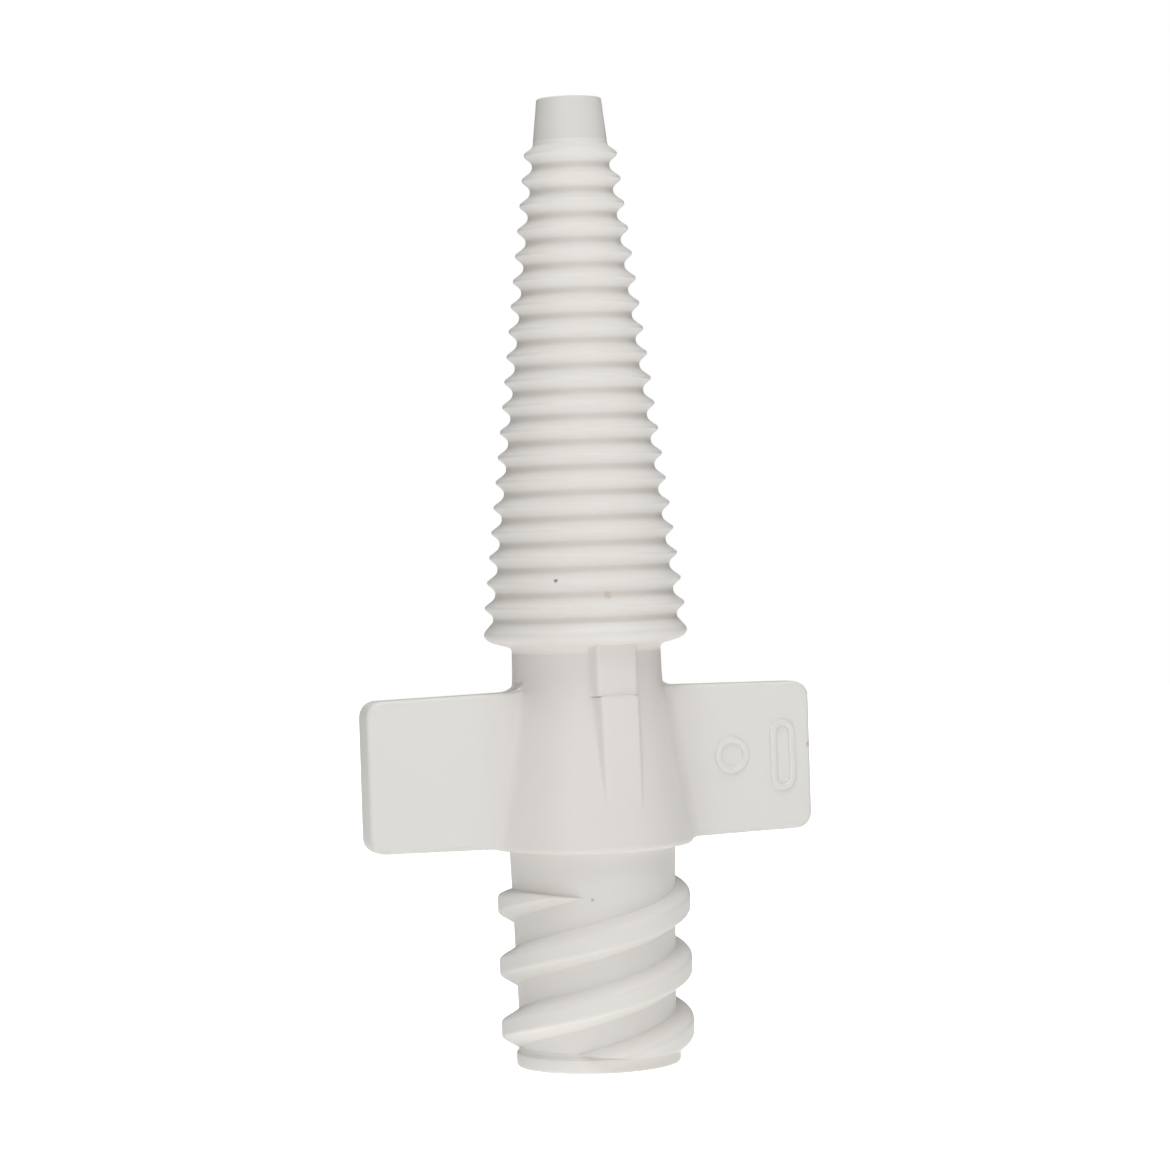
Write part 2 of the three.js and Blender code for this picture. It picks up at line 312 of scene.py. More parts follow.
class GeometryRecipe(Recipe):
    """A geometry-node tree under construction, with named inputs for its sizes."""

    def __init__(self, name: str) -> None:
        """Starts an empty tree of that name.

        Args:
            name: The name.
        """
        super().__init__(bpy.data.node_groups.new(name, "GeometryNodeTree"))
        face = self.tree.interface
        face.new_socket(name="Geometry", in_out="OUTPUT", socket_type="NodeSocketGeometry")
        self.entry = self.tree.nodes.new("NodeGroupInput")
        self.identifiers: dict[str, str] = {}

    def sizes(self, *names: str) -> list[NodeSocket]:
        """Adds named numbers to the tree's inputs and returns their sockets."""
        return [self._input(name, "NodeSocketFloat") for name in names]

    def counts(self, *names: str) -> list[NodeSocket]:
        """Adds named whole numbers to the tree's inputs and returns their sockets."""
        return [self._input(name, "NodeSocketInt") for name in names]

    def material(self) -> NodeSocket:
        """Adds a material to the tree's inputs and returns its socket."""
        return self._input("Material", "NodeSocketMaterial")

    def _input(self, name: str, kind: str) -> NodeSocket:
        """Adds an input of a kind and remembers its identifier.

        Args:
            name: The name.
            kind: The type of socket.

        Returns:
            The socket inside the tree.
        """
        made = self.tree.interface.new_socket(name=name, in_out="INPUT", socket_type=kind)
        self.identifiers[name] = made.identifier
        return self.entry.outputs[name]

    def mix(self, share: object, low: object, high: object) -> NodeSocket:
        """The value a share of the way from low to high."""
        span = self.math("SUBTRACT", high, low)
        return self.math("MULTIPLY_ADD", span, share, low)

    def round_axis(self, radius: object, angle: object) -> tuple[NodeSocket, NodeSocket]:
        """The X and Y of a point at a radius and an angle about the Z axis."""
        parts = (self.math("COSINE", angle), self.math("SINE", angle))
        return tuple(self.math("MULTIPLY", radius, part) for part in parts)

    def end(self, geometry: NodeSocket, place: Iterable[NodeSocket], material: NodeSocket) -> None:
        """Moves each point to its place, welds the seams, sets the material and closes the tree.

        Args:
            geometry: The geometry.
            place: The new X, Y and Z of each point.
            material: The material's socket.
        """
        where = self.node("ShaderNodeCombineXYZ")
        for socket, value in zip(where.inputs, place):
            self.feed(socket, value)
        steps = (
            ("GeometryNodeSetPosition", {"Position": where.outputs[0]}),
            ("GeometryNodeMergeByDistance", {"Distance": WELD}),
            ("GeometryNodeRealizeInstances", {}),
            ("GeometryNodeSetMaterial", {"Material": material}),
        )
        for kind, values in steps:
            made = self.node(kind)
            self.feed(made.inputs["Geometry"], geometry)
            for name, value in values.items():
                self.feed(made.inputs[name], value)
            geometry = made.outputs[0]
        self.feed(self.node("NodeGroupOutput").inputs[0], geometry)

    def piece(self, name: str, values: dict[str, object]) -> Piece:
        """Runs the tree once and keeps its result as a plain mesh.

        Args:
            name: The piece's name.
            values: A value for each of the tree's inputs, by the input's name.

        Returns:
            The object, at the origin, without a modifier.
        """
        seed = add_object(name + "_seed", bpy.data.meshes.new(name + "_seed"))
        modifier = seed.modifiers.new("Recipe", "NODES")
        modifier.node_group = self.tree
        for label, value in values.items():
            modifier[self.identifiers[label]] = value
        graph = bpy.context.evaluated_depsgraph_get()
        mesh = bpy.data.meshes.new_from_object(seed.evaluated_get(graph), depsgraph=graph)
        mesh.name = name
        bpy.data.objects.remove(seed)
        finish_mesh(mesh)
        return add_object(name, mesh)


@dataclass
class SkinGrid:
    """A grid that a recipe wraps into a closed skin.

    It has one column per step and one row per point of the outline.

    Attributes:
        geometry: The flat grid.
        along: Share of the way along the columns, 0 to 1.
        share: Share of the way along the outer face, 0 to 1.
        outer: 1 on the outer face, and 0 on the row that closes the outline.
    """

    geometry: NodeSocket
    along: NodeSocket
    share: NodeSocket
    outer: NodeSocket


def skin_grid(recipe: GeometryRecipe, columns: object, rows: object) -> SkinGrid:
    """Lays out a grid whose rows run round a closed outline.

    The first row is the outline's inner start, the next rows are its outer face, and the last
    two rows are its inner end and its inner start again, so that the weld closes it.

    Args:
        recipe: The tree that the grid goes in.
        columns: Number of steps along the other direction.
        rows: Number of points on the outer face.

    Returns:
        The grid and the fields that place its points.
    """
    grid = recipe.node("GeometryNodeMeshGrid")
    lines = recipe.math("ADD", columns, 1.0), recipe.math("ADD", rows, 3.0)
    for name, value in zip(("Size X", "Size Y", "Vertices X", "Vertices Y"), (1.0, 1.0, *lines)):
        recipe.feed(grid.inputs[name], value)
    x, y, _ = recipe.split(recipe.node("GeometryNodeInputPosition").outputs[0])
    along = recipe.math("ADD", x, 0.5)
    last = recipe.math("ADD", rows, 2.0)
    row = recipe.math("ROUND", recipe.math("MULTIPLY", recipe.math("ADD", y, 0.5), last))
    from_first = recipe.math("SUBTRACT", row, 1.0)
    step = recipe.math("DIVIDE", from_first, recipe.math("SUBTRACT", rows, 1.0))
    before_wrap = recipe.math("LESS_THAN", row, recipe.math("ADD", rows, 1.5))
    share = recipe.math("MULTIPLY", recipe.math("MULTIPLY", step, 1.0, clamp=True), before_wrap)
    below_end = recipe.math("LESS_THAN", row, recipe.math("ADD", rows, 0.5))
    outer = recipe.math("MULTIPLY", recipe.math("GREATER_THAN", row, 0.5), below_end)
    return SkinGrid(grid.outputs[0], along, share, outer)


# ---- Finishes ----------------------------------------------------------------------------------


class ShaderRecipe(Recipe):
    """A shader-node tree, group or material, under construction."""

    def remap(self, value: object, start: Point2, end: Point2 = (0.0, 1.0)) -> NodeSocket:
        """Maps a value smoothly from one range to another, clamped.

        Args:
            value: The value.
            start: The range that it comes from.
            end: The range that it goes to.

        Returns:
            The mapped value.
        """
        made = self.node("ShaderNodeMapRange", interpolation_type="SMOOTHSTEP")
        for socket, number in zip(made.inputs, (value, *start, *end)):
            self.feed(socket, number)
        return made.outputs[0]

    def noise(self, where: object, size: float, detail: float, roughness: float = 0.5) -> NodeSocket:
        """Noise with features of about a size in metres.

        Args:
            where: Coordinates to read.
            size: Size of the features in metres.
            detail: Number of finer layers.
            roughness: How strongly the finer layers show.

        Returns:
            The noise, 0 to 1.
        """
        made = self.node("ShaderNodeTexNoise")
        settings = {"Vector": where, "Scale": 1.0 / size, "Detail": detail, "Roughness": roughness}
        for name, value in settings.items():
            self.feed(made.inputs[name], value)
        return made.outputs["Fac"]

    def tint(self, share: object, low: object, high: object) -> NodeSocket:
        """Mixes two colours by a share.

        Args:
            share: Share of the second colour.
            low: First colour.
            high: Second colour.

        Returns:
            The mixed colour.
        """
        made = self.node("ShaderNodeMix", data_type="RGBA")
        for socket, value in ((0, share), (6, low), (7, high)):
            self.feed(made.inputs[socket], value)
        return made.outputs[2]

    def place(
        self, tree: bpy.types.NodeTree, where: object, values: dict[str, object]
    ) -> bpy.types.Node:
        """Places a shared node group.

        Args:
            tree: The group.
            where: Coordinates that it reads.
            values: Its other inputs, by name.

        Returns:
            The group's node.
        """
        made = self.node("ShaderNodeGroup", node_tree=tree)
        for name, value in {"Vector": where, **values}.items():
            self.feed(made.inputs[name], value)
        return made


class ShaderGroup(ShaderRecipe):
    """A shader node group under construction, with named inputs and outputs."""

    def __init__(
        self, name: str, vectors: Sequence[str], numbers: Sequence[str], results: Sequence[str]
    ) -> None:
        """Starts the group.

        Args:
            name: The group's name.
            vectors: Names of its vector inputs.
            numbers: Names of its number inputs.
            results: Names of its outputs, all numbers.
        """
        super().__init__(bpy.data.node_groups.new(name, "ShaderNodeTree"))
        sockets = [(label, "INPUT", "NodeSocketVector") for label in vectors]
        sockets += [(label, "INPUT", "NodeSocketFloat") for label in numbers]
        sockets += [(label, "OUTPUT", "NodeSocketFloat") for label in results]
        for label, way, kind in sockets:
            self.tree.interface.new_socket(name=label, in_out=way, socket_type=kind)
        self.inputs = self.node("NodeGroupInput").outputs

    def end(self, results: dict[str, NodeSocket]) -> bpy.types.NodeTree:
        """Feeds the outputs, by name, and returns the finished group.

        Args:
            results: The outputs' values, by name.

        Returns:
            The group.
        """
        leave = self.node("NodeGroupOutput")
        for name, value in results.items():
            self.feed(leave.inputs[name], value)
        return self.tree


def mould_grain_group() -> bpy.types.NodeTree:
    """Surface of a satin mould: fine spark-eroded grain, a wider ripple and flow tone.

    Returns:
        The group.
    """
    spark, wave, flow, sheen = 0.09 * MM, 1.1 * MM, 3.2 * MM, 0.8 * MM
    group = ShaderGroup("mould_grain", ["Vector"], ["Grain", "Ripple"], ["Height", "Tone", "Gloss"])
    where = group.inputs["Vector"]
    grain = group.math("MULTIPLY", group.noise(where, spark, 4.0, 0.6), group.inputs["Grain"])
    ripple = group.math("MULTIPLY", group.noise(where, wave, 2.0), group.inputs["Ripple"])
    tone = group.remap(group.noise(where, flow, 3.0), (0.3, 0.7))
    gloss = group.remap(group.noise(where, sheen, 5.0), (0.3, 0.75))
    return group.end({"Height": group.math("ADD", grain, ripple), "Tone": tone, "Gloss": gloss})


def groove_dust_and_shade_group() -> bpy.types.NodeTree:
    """Painted shade with a dust tint in evenly spaced grooves: 1 in a groove, with a crisp upper and a
    soft lower edge.

    Returns:
        The group.
    """
    lower_edge, upper_edge = (-0.22, -0.06), (0.05, 0.13)
    sizes = ["Lowest Groove", "Pitch", "Last Groove"]
    group = ShaderGroup("groove_band", ["Vector"], sizes, ["Mask"])
    height = group.split(group.inputs["Vector"])[2]
    # The mask marks where painted groove shade, with a dust tint, goes.
    above = group.math("SUBTRACT", height, group.inputs["Lowest Groove"])
    turn = group.math("DIVIDE", above, group.inputs["Pitch"])
    away = group.math("SUBTRACT", turn, group.nearest(turn, group.inputs["Last Groove"]))
    lower = group.remap(away, lower_edge)
    upper = group.remap(away, upper_edge, (1.0, 0.0))
    return group.end({"Mask": group.math("MULTIPLY", lower, upper)})


def fleck_group() -> bpy.types.NodeTree:
    """A small ragged fleck of dirt round a point on the surface.

    Returns:
        The group.
    """
    crumb, raggedness, rim = 0.06 * MM, 0.9, (0.9, 1.5)
    group = ShaderGroup("fleck", ["Vector", "Centre"], ["Radius"], ["Mask"])
    away = group.node("ShaderNodeVectorMath", operation="DISTANCE")
    group.feed(away.inputs[0], group.inputs["Vector"])
    group.feed(away.inputs[1], group.inputs["Centre"])
    share = group.math("DIVIDE", away.outputs["Value"], group.inputs["Radius"])
    ragged = group.math("MULTIPLY", group.noise(group.inputs["Vector"], crumb, 3.0), raggedness)
    return group.end({"Mask": group.remap(group.math("ADD", share, ragged), rim, (1.0, 0.0))})


@dataclass(frozen=True)
class Fleck:
    """A speck of dirt: where it is in millimetres, how wide, how dark and its colour."""

    centre: Point3
    radius: float
    strength: float
    colour: Colour


@dataclass(frozen=True)
class Grooves:
    """Evenly spaced grooves round the axis: the lowest one's height and the pitch, in millimetres."""

    lowest: float
    pitch: float
    count: int


@dataclass(frozen=True)
class ThinEdge:
    """Where thin walls look paler: distances from the middle plane in millimetres, and the colour."""

    start: float
    end: float
    colour: Colour


@dataclass(frozen=True)
class SatinMoulding:
    """Satin off-white moulded plastic.

    Attributes:
        name: The material's name.
        light: Colour where the melt flowed evenly.
        warm: Slightly warmer colour of the flow marks.
        shade: Colour painted into the grooves: painted shade with a dust tint.
        roughness: Roughness of the satin skin.
        grooves: The zone's grooves, if it has any.
        groove_tone: How strongly the grooves' painted shade and dust tint show.
        thin: The zone's thin walls, if it has any.
        flecks: Dirt on the zone.
        mottle: How strongly the flow marks show.
        grain: Height of the spark-eroded grain, as a share.
        ripple: Height of the wider ripple, as a share.
        bump: Strength of the bump.
        bump_depth: Depth of the bump in millimetres.
        index: Index of refraction.
    """

    name: str
    light: Colour = (0.828, 0.807, 0.777, 1.0)
    warm: Colour = (0.812, 0.785, 0.748, 1.0)
    # Colour of the painted groove shade, with a dust tint.
    shade: Colour = (0.66, 0.59, 0.51, 1.0)
    roughness: float = 0.4
    grooves: Grooves | None = None
    groove_tone: float = 0.32
    thin: ThinEdge | None = None
    flecks: tuple[Fleck, ...] = ()
    mottle: float = 0.7
    grain: float = 0.35
    ripple: float = 1.0
    bump: float = 0.5
    bump_depth: float = 0.006
    index: float = 1.49

    def build(self, groups: "FinishGroups") -> Material:
        """Makes the material.

        Args:
            groups: The shared node groups.

        Returns:
            A node material that reads object coordinates.
        """
        material = bpy.data.materials.new(self.name)
        material.use_nodes = True
        recipe = ShaderRecipe(material.node_tree)
        skin = material.node_tree.nodes["Principled BSDF"]
        where = recipe.node("ShaderNodeTexCoord").outputs["Object"]

        heights = {"Grain": self.grain, "Ripple": self.ripple}
        grain = recipe.place(groups.grain, where, heights).outputs
        share = recipe.math("MULTIPLY", grain["Tone"], self.mottle)
        colour = recipe.tint(share, self.light, self.warm)
        span = self.roughness - 0.05, self.roughness + 0.07
        roughness = recipe.remap(grain["Gloss"], (0.0, 1.0), span)
        if self.thin is not None:
            aside = recipe.math("ABSOLUTE", recipe.split(where)[0])
            share = recipe.remap(aside, (self.thin.start * MM, self.thin.end * MM))
            colour = recipe.tint(share, colour, self.thin.colour)
        # Painted shade with a dust tint: the groove mask pulls the colour towards the shade colour in
        # each groove.
        if self.grooves is not None:
            sizes = {
                "Lowest Groove": self.grooves.lowest * MM,
                "Pitch": self.grooves.pitch * MM,
                "Last Groove": self.grooves.count - 1.0,
            }
            mask = recipe.place(groups.groove, where, sizes).outputs["Mask"]
            colour = recipe.tint(recipe.math("MULTIPLY", mask, self.groove_tone), colour, self.shade)
            roughness = recipe.math("ADD", roughness, recipe.math("MULTIPLY", mask, 0.08))
        for fleck in self.flecks:
            spot = {"Centre": [value * MM for value in fleck.centre], "Radius": fleck.radius * MM}
            mask = recipe.place(groups.fleck, where, spot).outputs["Mask"]
            colour = recipe.tint(recipe.math("MULTIPLY", mask, fleck.strength), colour, fleck.colour)

        bump = recipe.node("ShaderNodeBump")
        bump.inputs["Strength"].default_value = self.bump
        bump.inputs["Distance"].default_value = self.bump_depth * MM
        recipe.feed(bump.inputs["Height"], grain["Height"])
        recipe.feed(skin.inputs["Base Color"], colour)
        recipe.feed(skin.inputs["Roughness"], roughness)
        recipe.feed(skin.inputs["Normal"], bump.outputs["Normal"])
        skin.inputs["IOR"].default_value = self.index
        return material


@dataclass
class FinishGroups:
    """The node groups that the finishes share."""

    grain: bpy.types.NodeTree = field(default_factory=mould_grain_group)
    groove: bpy.types.NodeTree = field(default_factory=groove_dust_and_shade_group)
    fleck: bpy.types.NodeTree = field(default_factory=fleck_group)


# ---- Zones of the moulding ---------------------------------------------------------------------


def node_span(node: str) -> tuple[float, float, float]:
    """Largest radius, lowest and highest point of a round CAD node, in millimetres."""
    low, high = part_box(node)
    return high.x / MM, low.z / MM, high.z / MM


def settle(piece: Piece, material: Material, *nodes: str) -> Piece:
    """Dresses a piece, puts it on the adapter's one body and lets it stand for its CAD nodes.

    Args:
        piece: The piece.
        material: The zone's finish.
        nodes: Names of the CAD nodes that it stands for.

    Returns:
        The same piece.
    """
    piece.data.materials.clear()
    piece.data.materials.append(material)
    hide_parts(*nodes)
    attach(piece, BODY)
    return piece


@dataclass
class Passage:
    """The hollow through the adapter: a 6 % luer taper, a step, and a lumen that narrows to the tip.

    Lengths are in millimetres.
    """

    mouth_radius: float = 2.15
    taper: float = 0.06
    floor: float = 8.3
    step: float = 0.1
    root_radius: float = 1.3
    tip_radius: float = 0.8
    tip: float = field(default_factory=lambda: node_span("tip_spigot")[2])

    def radius(self, height: float) -> float:
        """Radius of the passage at a height.

        Args:
            height: Height in millimetres.

        Returns:
            The radius.
        """
        if height <= self.floor:
            return self.mouth_radius - 0.5 * self.taper * height
        share = (height - self.floor) / (self.tip - self.floor)
        return lerp(self.root_radius, self.tip_radius, share)


@dataclass
class RibbedStem:
    """The slender cone with parallel ring ribs, its plain tip and the thicker bead at its foot.

    Lengths are in millimetres. The bead's foot is points out from the neck and above the bead's
    node, and its round is points in from the bead's radius and above the node.
    """

    passage: Passage
    ribs: int = 19
    pitch: float = 1.0
    depth: float = 0.37
    crest_flat: float = 0.045
    lowest_crest: float = 18.35
    lowest_radius: float = 3.99
    radius_step: float = 0.1185
    tip_rim: float = 0.07
    tip_radius: float = 1.3
    tip_root_radius: float = 1.48
    neck_radius: float = 2.97
    rows_per_rib: int = 16
    segments: int = 144
    flank_power: float = 1.4
    valley_power: float = 2.7
    bead_foot: tuple[Point2, ...] = (
        (0.0, -0.12), (0.01, 0.02), (0.06, 0.1), (0.18, 0.17), (0.5, 0.25),
    )
    bead_round: tuple[Point2, ...] = (
        (0.3, 0.34), (0.14, 0.43), (0.04, 0.54), (0.0, 0.64),
        (0.015, 0.74), (0.07, 0.84), (0.17, 0.95), (0.28, 1.07),
    )

    def recipe(self) -> GeometryRecipe:
        """Builds the tree that wraps a grid into the ribbed cone.

        Returns:
            The recipe, ready to run.
        """
        r = GeometryRecipe("ribbed_cone")
        bottom, top = r.sizes("Bottom", "Top")
        crest_height, crest_radius = r.sizes("Lowest Crest Height", "Lowest Crest Radius")
        pitch, step, depth, flat = r.sizes("Rib Pitch", "Radius Step", "Rib Depth", "Crest Flat")
        tip_radius, tip_slope = r.sizes("Tip Root Radius", "Tip Slope")
        hollow_low, hollow_high = r.sizes("Hollow Bottom Radius", "Hollow Top Radius")
        ribs, rows, segments = r.counts("Ribs", "Rows", "Segments")
        material = r.material()
        grid = skin_grid(r, segments, rows)
        height = r.mix(grid.share, bottom, top)
        turn = r.math("DIVIDE", r.math("SUBTRACT", height, crest_height), pitch)
        last = r.math("SUBTRACT", ribs, 1.0)
        away = r.math("ABSOLUTE", r.math("SUBTRACT", turn, r.nearest(turn, last)))
        reach = r.math("SUBTRACT", 0.5, flat)
        share = r.math("DIVIDE", r.math("SUBTRACT", away, flat), reach, clamp=True)
        crown = r.math("SUBTRACT", 1.0, r.math("POWER", share, self.flank_power))
        groove = r.math("SUBTRACT", 1.0, r.math("POWER", crown, self.valley_power))
        cone = r.math("SUBTRACT", crest_radius, r.math("MULTIPLY", step, turn))
        rib = r.math("SUBTRACT", cone, r.math("MULTIPLY", depth, groove))
        spigot = r.math("MULTIPLY_ADD", r.math("SUBTRACT", top, height), tip_slope, tip_radius)
        above = r.math("GREATER_THAN", turn, last)
        rib = r.mix(above, rib, r.math("MAXIMUM", rib, spigot))
        hollow = r.mix(grid.share, hollow_low, hollow_high)
        radius = r.mix(grid.outer, hollow, rib)
        angle = r.math("MULTIPLY", grid.along, 2.0 * math.pi)
        r.end(grid.geometry, (*r.round_axis(radius, angle), height), material)
        return r

    def cone(self, material: Material) -> Piece:
        """Makes the ribbed cone.

        Args:
            material: The zone's finish.

        Returns:
            The piece.
        """
        _, bottom, top = node_span("ribbed_cone")
        _, tip_bottom, tip_top = node_span("tip_spigot")
        slope = (self.tip_root_radius - self.tip_radius) / (tip_top - tip_bottom)
        piece = self.recipe().piece(
            "ribbed_stem",
            {
                "Bottom": bottom * MM,
                "Top": top * MM,
                "Lowest Crest Height": self.lowest_crest * MM,
                "Lowest Crest Radius": self.lowest_radius * MM,
                "Rib Pitch": self.pitch * MM,
                "Radius Step": self.radius_step * MM,
                "Rib Depth": self.depth * MM,
                "Crest Flat": self.crest_flat,
                "Tip Root Radius": self.tip_root_radius * MM,
                "Tip Slope": slope,
                "Hollow Bottom Radius": self.passage.radius(bottom) * MM,
                "Hollow Top Radius": self.passage.radius(top) * MM,
                "Ribs": self.ribs,
                "Rows": self.ribs * self.rows_per_rib + 1,
                "Segments": self.segments,
                "Material": material,
            },
        )
        return settle(piece, material, "ribbed_cone")

    def bead(self, material: Material) -> Piece:
        """Makes the thicker bead below the ribs, with its rounded underside.

        Args:
            material: The zone's finish.

        Returns:
            The piece.
        """
        radius, bottom, top = node_span("stem_flange")
        valley = self.lowest_radius + 0.5 * self.radius_step - self.depth
        foot = bottom + self.bead_foot[0][1]
        outline = [(self.neck_radius + out, bottom + rise) for out, rise in self.bead_foot]
        outline += [(radius - inset, bottom + rise) for inset, rise in self.bead_round]
        outline += [(valley + 0.01, top - 0.06), (valley, top)]
        outline += [(self.passage.radius(height), height) for height in (top, foot)]
        return settle(turned("flange_bead", outline), material, "stem_flange")

    def nozzle(self, material: Material) -> Piece:
        """Makes the plain tip, with a slightly rounded rim and a countersunk mouth.

        Args:
            material: The zone's finish.

        Returns:
            The piece.
        """
        _, bottom, top = node_span("tip_spigot")
        rim = self.tip_rim
        outline = [(self.tip_root_radius, bottom)]
        outline += arc((self.tip_radius - rim, top - rim), rim, 4.0, 90.0, 5)
        outline += arc((self.passage.radius(top) + rim, top - rim), rim, 90.0, 180.0, 4)
        outline.append((self.passage.radius(bottom), bottom))
        return settle(turned("tip_nozzle", outline), material, "tip_spigot")

    def build(self, ribbed: Material, plain: Material) -> list[Piece]:
        """Makes the stem's three pieces: the tip in the plain finish, the others in the ribbed one."""
        return [self.nozzle(plain), self.cone(ribbed), self.bead(ribbed)]


class Side(Enum):
    """A side of the adapter, as a direction along X for wings and along Y for keys."""

    LEFT = -1
    RIGHT = 1


class Face(Enum):
    """A face of the hub, as a direction along Y."""

    FRONT = -1
    REAR = 1


@dataclass
class Hub:
    """The conical hub that runs into the wings, and the plain neck above it.

    Lengths are in millimetres.
    """

    passage: Passage
    half_wing: float = 0.6
    root: float = 4.9
    side_fillet: float = 0.7
    edge: float = 0.18
    lip: float = 0.2
    top_fillet: float = 0.4
    top_radius: float = 2.97
    bottom_radius: float = 4.06
    neck_radius: float = 2.965
    neck_blend: float = 0.12
    edge_gap: float = 0.03
    edge_draft: float = 0.0169
    lap: float = 0.06
    neck_gap: float = 0.12
    wall_rows: int = 14
    turn_rows: int = 5
    face_rows: int = 4
    bottom: float = field(default_factory=lambda: node_span("hub")[1])
    top: float = field(default_factory=lambda: node_span("neck")[1])

    def radius(self, height: float) -> float:
        """Radius of the cone at a height, and of the neck above it.

        Args:
            height: Height in millimetres.

        Returns:
            The radius.
        """
        share = (height - self.bottom) / (self.top - self.bottom)
        cone = lerp(self.bottom_radius, self.top_radius, share)
        return smooth_max(self.neck_radius, cone, self.neck_blend)

    def wing_edge(self, x: float, above: bool) -> float:
        """Height of the wing's upper or lower edge at a distance from the axis."""
        gap = self.edge_gap + self.edge_draft * abs(x)
        return self.top - gap if above else self.bottom + gap

    def section(self, radius: float, inset: float) -> list[Point2]:
        """Corners of the section, anticlockwise from the right wing's middle line.

        Args:
            radius: Radius of the cone here.
            inset: How far the wings' faces draw in, where their edges round over.

        Returns:
            The closed section, with as many corners for any radius and inset.
        """
        half = self.half_wing - inset
        lift = half + self.side_fillet
        reach = math.sqrt((radius + self.side_fillet) ** 2 - lift**2)
        end = math.degrees(math.atan2(lift, reach))
        quarter = [(self.root, half * k / 3) for k in range(4)]
        quarter += [(lerp(self.root, reach, k / 6), half) for k in range(1, 6)]
        quarter += arc((reach, lift), self.side_fillet, -90.0, end - 180.0, 10)
        quarter += arc((0.0, 0.0), radius, end, 90.0, 26)[1:]
        upper = quarter + [(-x, y) for x, y in reversed(quarter[:-1])]
        return upper + [(-x, -y) for x, y in upper[1:-1]]

    def share_of_wing(self, point: Point2, radius: float) -> float:
        """0 on the cone and 1 on the wing, rising through the fillet between them."""
        return smooth_step(radius + 0.01, radius + 0.6, math.hypot(*point))

    def low_ring(self, turn: float, spare: float = 0.0) -> Ring:
        """Ring on the rounded lower edge, at a turn from 0 below to a right angle beside it.

        Args:
            turn: Turn from 0 below the edge to a right angle beside it.
            spare: How far the ring draws in besides.

        Returns:
            The ring.
        """
        inset = 1.0 - math.sin(turn)
        rise = 1.0 - math.cos(turn)
        radius = self.radius(self.bottom) - self.lip * inset - spare
        ring = []
        for x, y in self.section(radius, self.edge * inset + spare):
            wing = self.share_of_wing((x, y), radius)
            cone_height = self.bottom + self.lip * rise
            height = lerp(cone_height, self.wing_edge(x, False) + self.edge * rise, wing)
            ring.append(Vector((x, y, height)) * MM)
        return ring

    def wall_ring(self, share: float) -> Ring:
        """Ring a share of the way up between the lower and the upper rounded edge.

        Args:
            share: Share of the way up.

        Returns:
            The ring.
        """
        low, high = self.bottom + self.lip, self.top - self.edge
        radius = self.radius(lerp(low, high, share))
        ring = []
        for x, y in self.section(radius, 0.0):
            wing = self.share_of_wing((x, y), radius)
            from_height = lerp(low, self.wing_edge(x, False) + self.edge, wing)
            to_height = lerp(high, self.wing_edge(x, True) - self.edge, wing)
            ring.append(Vector((x, y, lerp(from_height, to_height, share))) * MM)
        return ring

    def top_ring(self, step: int, inset: float, rise: float, limit: float) -> Ring:
        """Ring on the wings' upper edge, their top face or the fillet up to the neck.

        Args:
            step: Number of the ring, which sets how far it has risen up the cone.
            inset: How far the wings' faces draw in.
            rise: Height above the wings' top face.
            limit: Largest distance from the axis.

        Returns:
            The ring.
        """
        steps = 2 * (self.turn_rows + 1) + self.face_rows
        cone_height = lerp(self.top - self.edge, self.top + self.top_fillet, (step + 1) / (steps + 1))
        radius = self.radius(cone_height)
        ring = []
        for x, y in self.section(self.radius(self.top), inset):
            reach = math.hypot(x, y)
            wing = self.share_of_wing((x, y), self.radius(self.top))
            distance = lerp(radius, min(reach, limit), wing)
            edge_height = self.wing_edge(min(limit, abs(x)), True) + rise
            height = lerp(cone_height, edge_height, wing)
            ring.append(Vector((x * distance / reach, y * distance / reach, height)) * MM)
        return ring

    def circle(self, radius: float, height: float) -> Ring:
        """Level ring of a radius, with its points at the angles of the section's.

        Args:
            radius: The ring's radius.
            height: Height in millimetres.

        Returns:
            The ring.
        """
        ring = []
        for x, y in self.section(self.radius(self.top), 0.0):
            scale = radius / math.hypot(x, y)
            ring.append(Vector((x * scale, y * scale, height)) * MM)
        return ring

    def top_rings(self) -> list[Ring]:
        """Rings from the wings' upper edges over their top faces and up the fillet to the neck.

        Returns:
            The rings, from the edges inwards.
        """
        turns = [math.radians(90.0 * k / self.turn_rows) for k in range(self.turn_rows + 1)]
        edge, fillet, neck = self.edge, self.top_fillet, self.neck_radius
        places = [(edge * (1 - math.cos(t)), edge * (math.sin(t) - 1), self.root * 2) for t in turns]
        for k in range(1, self.face_rows + 1):
            places.append((edge, 0.0, lerp(self.root, neck + fillet, k / (self.face_rows + 1))))
        places += [(edge, fillet * (1 - math.cos(t)), neck + fillet * (1 - math.sin(t))) for t in turns]
        return [self.top_ring(step, *place) for step, place in enumerate(places)]

    def body(self, material: Material) -> Piece:
        """Makes the hub, from its lower face to the fillet at the foot of the neck.

        Args:
            material: The zone's finish.

        Returns:
            The piece.
        """
        turns = [math.radians(90.0 * k / self.turn_rows) for k in range(self.turn_rows + 1)]
        rings = [self.circle(self.passage.radius(self.bottom), self.bottom)]
        rings.append(self.low_ring(0.0, self.lap))
        rings += [self.low_ring(turn) for turn in turns]
        rings += [self.wall_ring(k / self.wall_rows) for k in range(1, self.wall_rows)]
        rings += self.top_rings()
        rings.append(self.circle(self.radius(self.shoulder), self.shoulder))
        rings.append(self.circle(self.passage.radius(self.shoulder), self.shoulder))
        return settle(loft("hub_body", rings, closed=True), material, "hub")

    @property
    def shoulder(self) -> float:
        """Height where the neck starts, above the fillet on the wings."""
        return self.top + self.top_fillet

